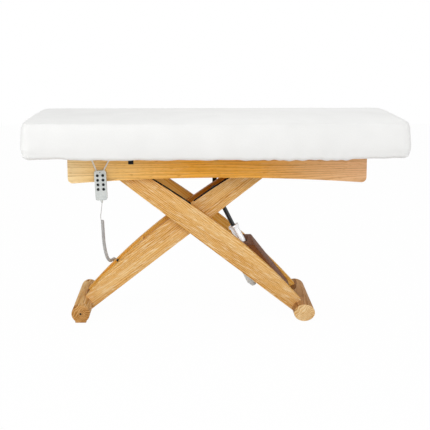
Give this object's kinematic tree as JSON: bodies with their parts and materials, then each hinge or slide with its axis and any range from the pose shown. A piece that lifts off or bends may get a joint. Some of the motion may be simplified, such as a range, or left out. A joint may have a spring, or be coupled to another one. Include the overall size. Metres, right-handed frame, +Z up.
{
  "type": "spa treatment table",
  "caption": "Height-adjustable treatment table: padded white top on crossed wooden scissor legs with an electric actuator and a corded handset.",
  "frame": {"origin": "middle of the object's box, on the floor", "axes": "+X along the table to the foot end, +Y across it to the rear, +Z up"},
  "size_m": [1.85, 0.76, 1.0155],
  "materials": {
    "upholstery": "white vinyl, soft satin",
    "wood": "clear lacquered ash",
    "plywood": "plain birch plywood",
    "black_steel": "black powder coat",
    "steel": "zinc plated",
    "silver": "turned aluminium",
    "grey_plastic": "light grey moulding",
    "black_plastic": "black moulding",
    "button_rubber": "dark rubber",
    "nylon": "natural nylon",
    "bronze": "sintered bronze",
    "lens": "clear dark lens",
    "circuit": "green laminate",
    "white_braid": "white braided cord",
    "grey_cord": "light grey sheath"
  },
  "bodies": {
    "left_feet": {"left_foot_front": "wood", "left_foot_rear": "wood"},
    "inner_legs": {"left_bar": "wood", "left_bar_bolts": "steel", "foot_screws": "steel", "inner_leg_front": "wood", "inner_leg_rear": "wood", "inner_stretcher": "wood", "control_box": "black_plastic", "mains_inlet": "black_plastic", "cord_gland": "black_plastic", "pivot_shaft": "steel", "pivot_spacer": "black_steel", "pivot_washers": "nylon", "roller_axles": "steel", "drive_pin_upper": "black_steel"},
    "outer_legs": {"right_bar": "wood", "right_bar_bolts": "steel", "outer_leg_front": "wood", "outer_leg_rear": "wood", "outer_stretcher": "wood", "pivot_bushes": "bronze", "hinge_bushes": "bronze", "drive_pin_lower": "black_steel"},
    "roller_front": {"roller_front": "nylon"},
    "roller_rear": {"roller_rear": "nylon"},
    "actuator_body": {"actuator_gearbox": "grey_plastic", "actuator_motor": "grey_plastic", "actuator_tube": "grey_plastic", "actuator_collar": "silver", "actuator_spindle": "steel"},
    "actuator_rod": {"actuator_rod": "black_steel", "actuator_eye": "black_steel"},
    "table_top": {"pad": "upholstery", "deck": "plywood", "rail_front": "wood", "rail_rear": "wood", "cross_rails": "wood", "roller_tracks": "black_steel", "hinge_pins": "steel", "deck_brackets": "black_steel", "bracket_screws": "black_steel", "cord_hanger": "black_steel", "handset_front": "grey_plastic", "handset_back": "grey_plastic", "handset_lens": "lens", "handset_circuit": "circuit", "lanyard": "white_braid", "lanyard_studs": "nylon", "cord_relief": "grey_plastic", "handset_cord": "grey_cord"},
    "button_1": {"handset_button_1": "button_rubber"},
    "button_2": {"handset_button_2": "button_rubber"},
    "button_3": {"handset_button_3": "button_rubber"},
    "button_4": {"handset_button_4": "button_rubber"},
    "button_5": {"handset_button_5": "button_rubber"},
    "button_6": {"handset_button_6": "button_rubber"},
    "button_7": {"handset_button_7": "button_rubber"},
    "button_8": {"handset_button_8": "button_rubber"}
  },
  "joints": [
    {"name": "foot_pivot", "type": "hinge", "parent": "left_feet", "child": "inner_legs", "pos_m": [-0.66851, 0, 0.045], "axis": [0, 1, 0], "range_deg": [0, 18]},
    {"name": "scissor_pivot", "type": "hinge", "parent": "inner_legs", "child": "outer_legs", "pos_m": [-0.1146, 0, 0.50275], "axis": [0, -1, 0], "range_deg": [0, 36], "deforming": ["handset_cord"]},
    {"name": "top_hinge", "type": "hinge", "parent": "outer_legs", "child": "table_top", "pos_m": [-0.49238, 0, 0.76586], "axis": [0, 1, 0], "range_deg": [0, 18]},
    {"name": "actuator_swing", "type": "hinge", "parent": "outer_legs", "child": "actuator_body", "pos_m": [0.20454, 0, 0.21596], "axis": [0, 1, 0], "range_deg": [0, 1.1]},
    {"name": "actuator_stroke", "type": "slide", "parent": "actuator_body", "child": "actuator_rod", "axis": [0.4474, 0, -0.8943], "range_m": [0, 0.1025]},
    {"name": "roller_front_spin", "type": "hinge", "parent": "inner_legs", "child": "roller_front", "pos_m": [0.26318, -0.153, 0.76586], "axis": [0, 1, 0], "continuous": true},
    {"name": "roller_rear_spin", "type": "hinge", "parent": "inner_legs", "child": "roller_rear", "pos_m": [0.26318, 0.153, 0.76586], "axis": [0, 1, 0], "continuous": true},
    {"name": "button_1_press", "type": "slide", "parent": "table_top", "child": "button_1", "axis": [0, 1, 0], "range_m": [0, 0.001], "stiffness_N_per_m": 800},
    {"name": "button_2_press", "type": "slide", "parent": "table_top", "child": "button_2", "axis": [0, 1, 0], "range_m": [0, 0.001], "stiffness_N_per_m": 800},
    {"name": "button_3_press", "type": "slide", "parent": "table_top", "child": "button_3", "axis": [0, 1, 0], "range_m": [0, 0.001], "stiffness_N_per_m": 800},
    {"name": "button_4_press", "type": "slide", "parent": "table_top", "child": "button_4", "axis": [0, 1, 0], "range_m": [0, 0.001], "stiffness_N_per_m": 800},
    {"name": "button_5_press", "type": "slide", "parent": "table_top", "child": "button_5", "axis": [0, 1, 0], "range_m": [0, 0.001], "stiffness_N_per_m": 800},
    {"name": "button_6_press", "type": "slide", "parent": "table_top", "child": "button_6", "axis": [0, 1, 0], "range_m": [0, 0.001], "stiffness_N_per_m": 800},
    {"name": "button_7_press", "type": "slide", "parent": "table_top", "child": "button_7", "axis": [0, 1, 0], "range_m": [0, 0.001], "stiffness_N_per_m": 800},
    {"name": "button_8_press", "type": "slide", "parent": "table_top", "child": "button_8", "axis": [0, 1, 0], "range_m": [0, 0.001], "stiffness_N_per_m": 800}
  ],
  "couplings": [
    {"joint": "foot_pivot", "follows": "scissor_pivot", "ratio": 0.5},
    {"joint": "top_hinge", "follows": "scissor_pivot", "ratio": 0.5},
    {"joint": "actuator_swing", "follows": "scissor_pivot", "ratio": 0.03},
    {"joint": "actuator_stroke", "follows": "scissor_pivot", "m_per_rad": 0.163}
  ]
}
